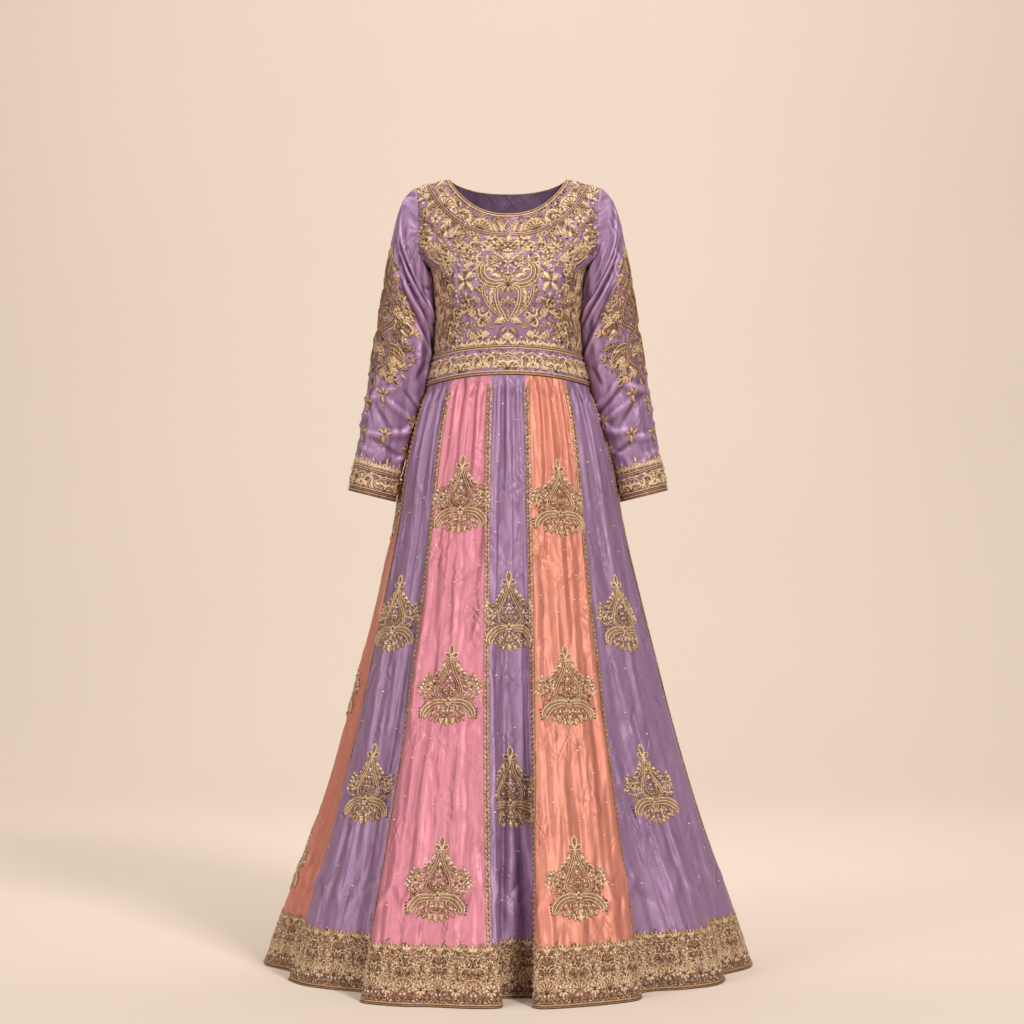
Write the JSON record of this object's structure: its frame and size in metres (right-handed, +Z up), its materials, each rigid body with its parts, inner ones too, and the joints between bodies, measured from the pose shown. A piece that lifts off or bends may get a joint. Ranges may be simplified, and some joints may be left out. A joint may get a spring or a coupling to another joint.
{
  "type": "anarkali gown",
  "caption": "Floor-length anarkali gown in hollow worn form: fitted bodice, long set-in sleeves with cuffs, waistband and a full skirt of tapering panels with gold seam trims.",
  "frame": {"origin": "midway between the two points where the shoulder seams meet the neckline, where the wearer's shoulders hold the gown", "axes": "+Z up, the front faces -Y, +X to the right of someone who looks at the front"},
  "size_m": [0.9103, 0.8954, 1.4617],
  "materials": {
    "lilac_silk": "dupion silk with a soft sheen, under gold embroidery",
    "rose_silk": "dupion silk with a soft sheen",
    "coral_silk": "dupion silk with a soft sheen",
    "gold_work": "antique gold cord, beads and metal thread, half bright"
  },
  "bodies": {
    "root": {"bodice_front": "lilac_silk", "bodice_back": "lilac_silk", "waistband_front": "gold_work", "waistband_back": "gold_work", "neck_binding_front": "gold_work", "neck_binding_back": "gold_work", "sleeve_left": "lilac_silk", "sleeve_right": "lilac_silk", "cuff_left": "gold_work", "cuff_right": "gold_work", "skirt_kali_06": "lilac_silk", "skirt_kali_07": "coral_silk", "skirt_kali_08": "lilac_silk", "skirt_kali_09": "rose_silk", "skirt_kali_00": "lilac_silk", "skirt_kali_01": "coral_silk", "skirt_kali_02": "lilac_silk", "skirt_kali_03": "coral_silk", "skirt_kali_04": "lilac_silk", "skirt_kali_05": "rose_silk", "seam_trim_00": "gold_work", "seam_trim_01": "gold_work", "seam_trim_02": "gold_work", "seam_trim_03": "gold_work", "seam_trim_04": "gold_work", "seam_trim_05": "gold_work", "seam_trim_06": "gold_work", "seam_trim_07": "gold_work", "seam_trim_08": "gold_work", "seam_trim_09": "gold_work"}
  },
  "joints": []
}
